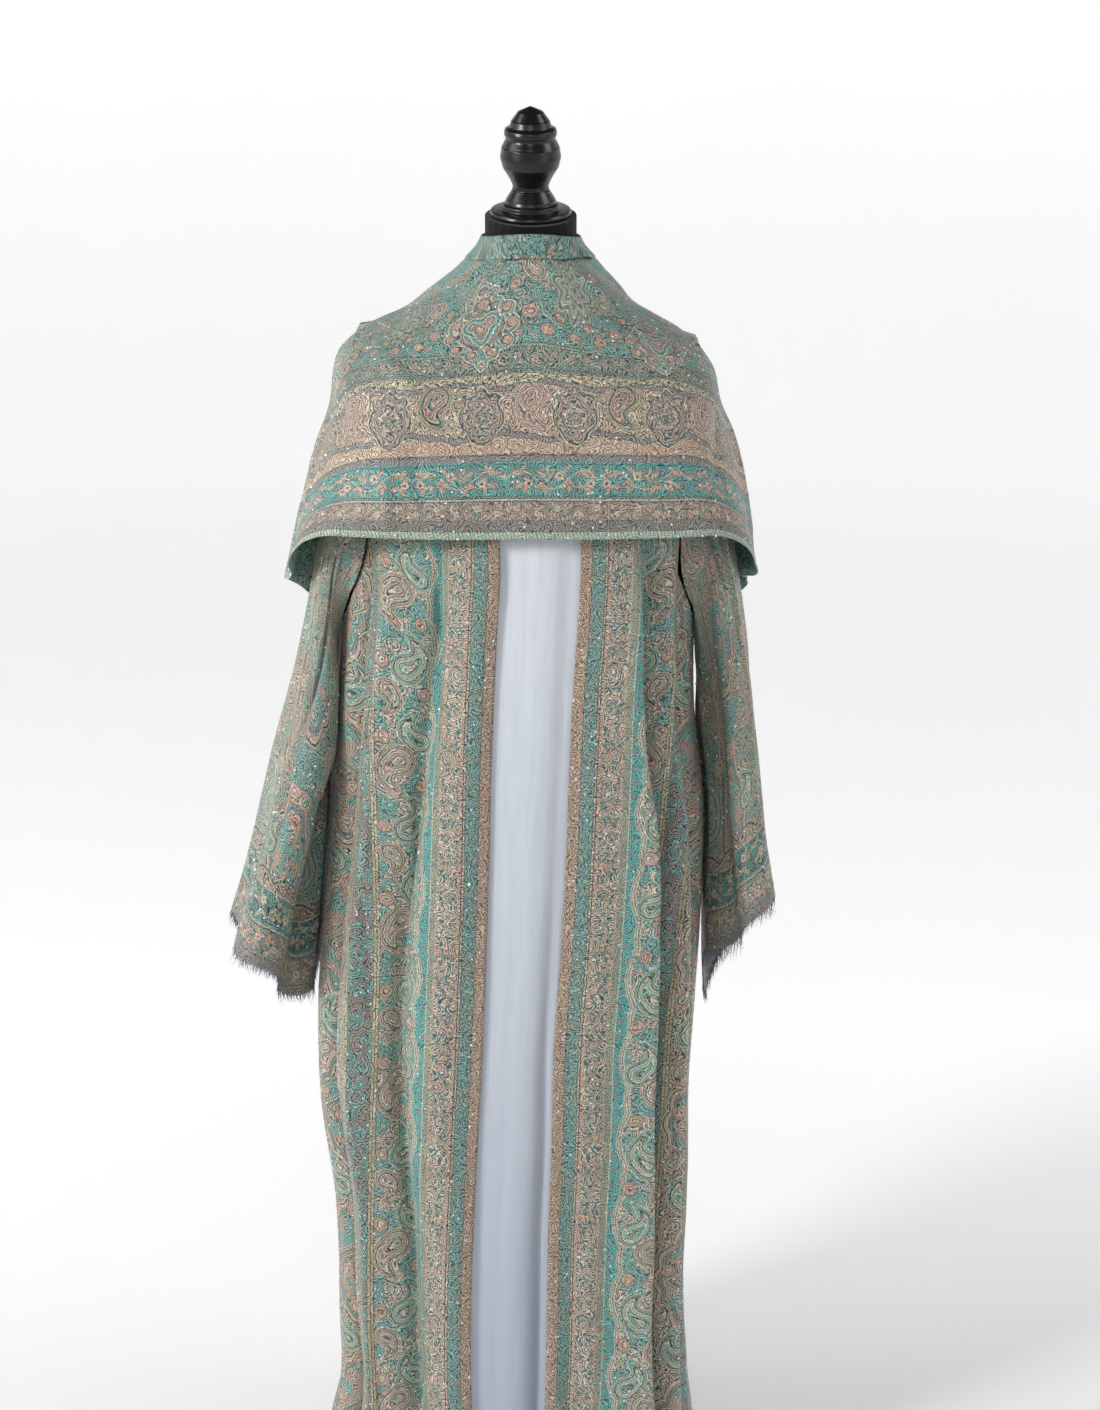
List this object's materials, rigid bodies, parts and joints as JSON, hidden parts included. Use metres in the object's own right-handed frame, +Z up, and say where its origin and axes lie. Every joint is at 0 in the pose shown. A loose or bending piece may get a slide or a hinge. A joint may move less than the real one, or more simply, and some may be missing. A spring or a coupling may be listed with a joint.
{
  "type": "abaya on dress form",
  "caption": "Long open abaya of patterned cloth with wide sleeves, frayed cuffs, a plain inner panel and a matching shoulder wrap, on a limbless dress form with a turned finial.",
  "frame": {"origin": "centre of the round base plate's underside, on the floor", "axes": "+Z up; the open front faces -Y; +X is on the viewer's right"},
  "size_m": [0.6841, 0.3551, 1.7579],
  "materials": {
    "jacquard": "woven in teal, grey, cream and salmon, soft sheen",
    "plain_crepe": "plain pale blue-grey crepe, matt",
    "fringe": "frayed dark grey yarn",
    "form_cover": "black jersey, matt",
    "black_wood": "black lacquer, satin",
    "black_steel": "black powder coat",
    "crystal": "very small faceted stones on the cloth"
  },
  "bodies": {
    "root": {"back": "jacquard", "front_left": "jacquard", "front_right": "jacquard", "sleeve_left": "jacquard", "sleeve_right": "jacquard", "cuff_fringe_left": "fringe", "cuff_fringe_right": "fringe", "inner_panel": "plain_crepe", "shoulder_wrap": "jacquard", "form_torso": "form_cover", "finial": "black_wood", "pole": "black_steel", "base": "black_steel"}
  },
  "joints": []
}
